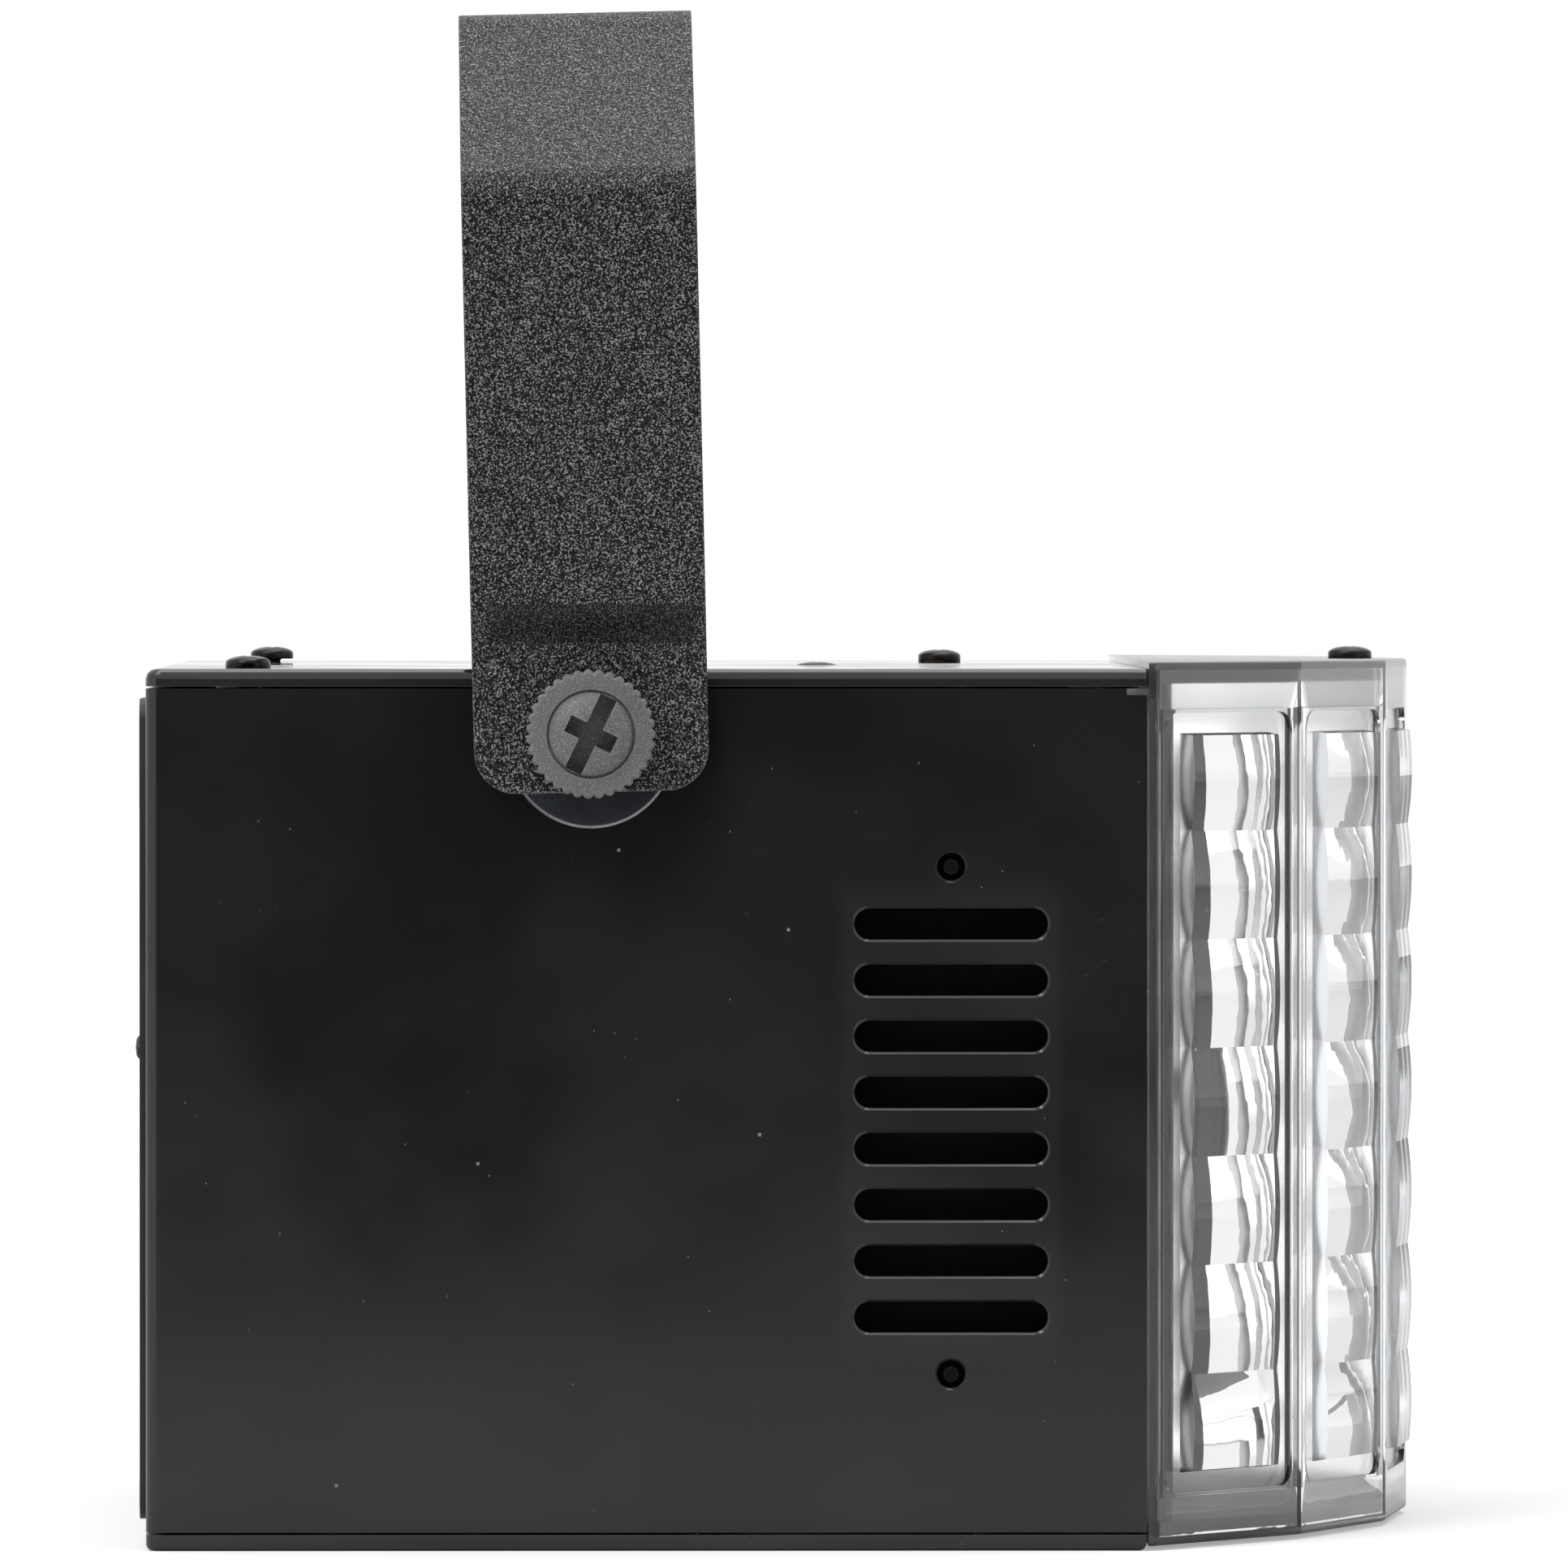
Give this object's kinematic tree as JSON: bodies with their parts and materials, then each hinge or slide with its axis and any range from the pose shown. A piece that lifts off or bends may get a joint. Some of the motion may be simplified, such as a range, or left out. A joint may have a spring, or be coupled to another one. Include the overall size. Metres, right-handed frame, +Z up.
{
  "type": "derby effect light",
  "caption": "Box-shaped stage effect light with a faceted clear lens cover, side vents and a tilting yoke.",
  "frame": {"origin": "centre of the housing's flat underside, on the surface it stands on", "axes": "+X forward along the beams, +Z up, +Y to the far side of the picture: to the light's own left. Node names call the -Y side left, as seen by someone who faces the rear panel"},
  "size_m": [0.1791, 0.2194, 0.2107],
  "materials": {
    "housing_plastic": "gloss black moulded plastic",
    "black_plastic": "matt black moulded plastic",
    "cover_plastic": "clear moulded plastic with lenses",
    "washer_plastic": "clear plastic washer",
    "yoke_paint": "textured black powder coat on sheet steel",
    "knob_plastic": "dark grey moulded knob",
    "black_screw": "blackened steel screw",
    "steel": "zinc-plated steel",
    "aluminium": "plain aluminium",
    "lens_plastic": "clear moulded lens",
    "green_board": "green circuit board",
    "white_board": "white circuit board on aluminium",
    "transformer_core": "taped ferrite core and coil",
    "capacitor_sleeve": "blue shrink sleeve",
    "lead_sheath": "grey insulated lead",
    "display_face": "dark red display window"
  },
  "bodies": {
    "housing": {"housing_shell": "housing_plastic", "top_lid": "housing_plastic", "bottom_plate": "housing_plastic", "rear_plate": "black_plastic", "vent_baffle_left": "black_plastic", "vent_baffle_right": "black_plastic", "control_board": "green_board", "display_module": "display_face", "microphone": "aluminium", "signal_socket_in": "black_plastic", "signal_socket_out": "black_plastic", "power_inlet": "black_plastic", "lens_cover": "cover_plastic", "cover_screw": "black_screw", "front_chassis": "black_plastic", "motor_bracket": "steel", "wheel_motor": "steel", "led_heatsink": "aluminium", "led_board": "white_board", "lens_holder": "black_plastic", "power_supply_board": "green_board", "transformer": "transformer_core", "capacitor": "capacitor_sleeve", "mains_lead": "lead_sheath", "led_lead": "lead_sheath", "motor_lead": "lead_sheath", "lid_screw_low": "black_screw", "lid_screw_1": "black_screw", "floor_screw_1": "black_screw", "rear_plate_screw_1": "black_screw", "lid_screw_2": "black_screw", "floor_screw_2": "black_screw", "rear_plate_screw_2": "black_screw", "lid_screw_3": "black_screw", "floor_screw_3": "black_screw", "rear_plate_screw_3": "black_screw", "lid_screw_4": "black_screw", "floor_screw_4": "black_screw", "rear_plate_screw_4": "black_screw", "condenser_lens_red": "lens_plastic", "condenser_lens_green": "lens_plastic", "condenser_lens_blue": "lens_plastic", "condenser_lens_white": "lens_plastic", "friction_washer_left": "washer_plastic", "pivot_nut_left": "steel", "friction_washer_right": "washer_plastic", "pivot_nut_right": "steel"},
    "yoke": {"yoke": "yoke_paint"},
    "thumbscrew_left": {"thumbscrew_left": "knob_plastic"},
    "thumbscrew_right": {"thumbscrew_right": "knob_plastic"},
    "wheel": {"effect_wheel": "black_plastic", "motor_shaft": "steel", "wheel_screw": "black_screw"},
    "button_1": {"button_1": "black_plastic"},
    "button_2": {"button_2": "black_plastic"},
    "button_3": {"button_3": "black_plastic"},
    "button_4": {"button_4": "black_plastic"}
  },
  "joints": [
    {"name": "yoke_tilt", "type": "hinge", "parent": "housing", "child": "yoke", "pos_m": [-0.0075, 0, 0.1115], "axis": [0, 1, 0], "range_deg": [-110, 68]},
    {"name": "thumbscrew_left_turn", "type": "hinge", "parent": "housing", "child": "thumbscrew_left", "pos_m": [-0.0075, -0.103, 0.1115], "axis": [0, -1, 0], "range_deg": [0, 360]},
    {"name": "thumbscrew_right_turn", "type": "hinge", "parent": "housing", "child": "thumbscrew_right", "pos_m": [-0.0075, 0.103, 0.1115], "axis": [0, 1, 0], "range_deg": [0, 360]},
    {"name": "effect_wheel_spin", "type": "hinge", "parent": "housing", "child": "wheel", "pos_m": [0.074, 0, 0.0605], "axis": [1, 0, 0], "continuous": true},
    {"name": "button_1_press", "type": "slide", "parent": "housing", "child": "button_1", "axis": [1, 0, 0], "range_m": [0, 0.0004], "stiffness_N_per_m": 400, "springref_m": -0.0005},
    {"name": "button_2_press", "type": "slide", "parent": "housing", "child": "button_2", "axis": [1, 0, 0], "range_m": [0, 0.0004], "stiffness_N_per_m": 400, "springref_m": -0.0005},
    {"name": "button_3_press", "type": "slide", "parent": "housing", "child": "button_3", "axis": [1, 0, 0], "range_m": [0, 0.0004], "stiffness_N_per_m": 400, "springref_m": -0.0005},
    {"name": "button_4_press", "type": "slide", "parent": "housing", "child": "button_4", "axis": [1, 0, 0], "range_m": [0, 0.0004], "stiffness_N_per_m": 400, "springref_m": -0.0005}
  ]
}
